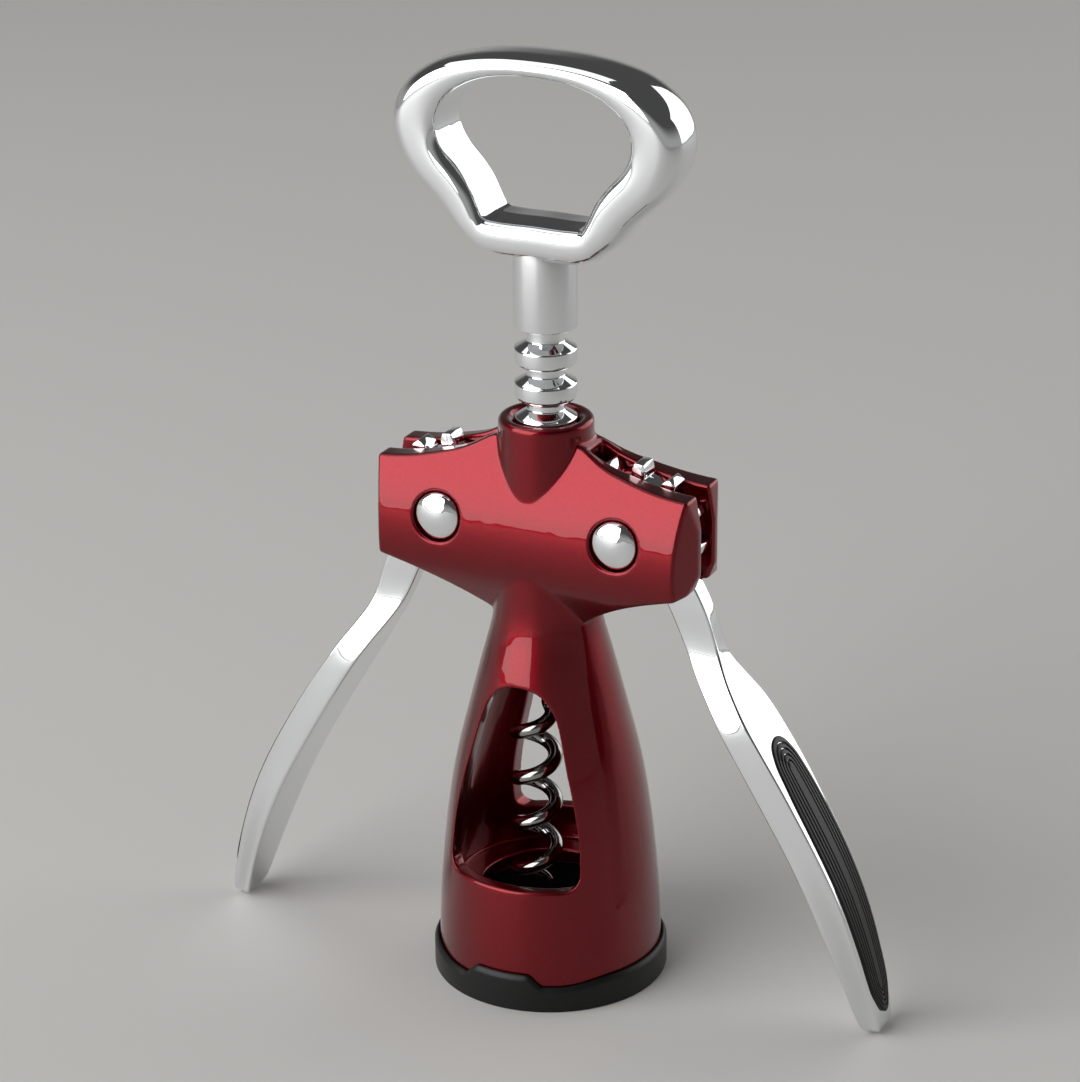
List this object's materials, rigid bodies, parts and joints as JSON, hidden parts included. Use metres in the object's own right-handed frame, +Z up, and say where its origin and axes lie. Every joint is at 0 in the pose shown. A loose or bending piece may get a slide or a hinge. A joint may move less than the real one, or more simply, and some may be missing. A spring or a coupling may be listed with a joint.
{
  "type": "wing corkscrew",
  "caption": "Wing corkscrew: red die-cast bell with a slotted head, chrome geared levers with rubber grips, a ringed rack spindle with a wire worm, and a loop handle that opens crown caps",
  "frame": {"origin": "middle of the flat underside of the base ring, on the spindle's axis, where the tool stands on a table", "axes": "+X from the left lever to the right lever, +Y from the front to the back, +Z up along the spindle to the loop handle"},
  "size_m": [0.1324, 0.043, 0.1719],
  "materials": {
    "red_paint": "metallic red lacquer on a die-cast body, glossy",
    "chrome": "mirror chrome plating",
    "black_rubber": "satin black soft rubber",
    "dark_steel": "polished dark steel wire"
  },
  "bodies": {
    "frame": {"bell_frame": "red_paint", "base_ring": "black_rubber", "left_pivot_pin": "chrome", "right_pivot_pin": "chrome", "left_pivot_cap": "chrome", "right_pivot_cap": "chrome"},
    "left_wing": {"left_lever": "chrome", "left_grip": "black_rubber"},
    "right_wing": {"right_lever": "chrome", "right_grip": "black_rubber"},
    "spindle_slide_ring": {"stop_ring": "dark_steel"},
    "spindle": {"rack_spindle": "chrome", "worm": "dark_steel", "opener_handle": "chrome"}
  },
  "joints": [
    {"name": "left_lever_hinge", "type": "hinge", "parent": "frame", "child": "left_wing", "pos_m": [-0.01718, 0, 0.0883], "axis": [0, 1, 0], "range_deg": [-24, 126]},
    {"name": "right_lever_hinge", "type": "hinge", "parent": "frame", "child": "right_wing", "pos_m": [0.01718, 0, 0.0883], "axis": [0, -1, 0], "range_deg": [-24, 126]},
    {"name": "spindle_slide", "type": "slide", "parent": "frame", "child": "spindle_slide_ring", "axis": [0, 0, -1], "range_m": [-0.00503, 0.0264]},
    {"name": "spindle_turn", "type": "hinge", "parent": "spindle_slide_ring", "child": "spindle", "pos_m": [0, 0, 0.0606], "axis": [0, 0, -1], "continuous": true}
  ],
  "couplings": [
    {"joint": "right_lever_hinge", "follows": "left_lever_hinge", "ratio": 1},
    {"joint": "spindle_slide", "follows": "left_lever_hinge", "m_per_rad": 0.012}
  ]
}
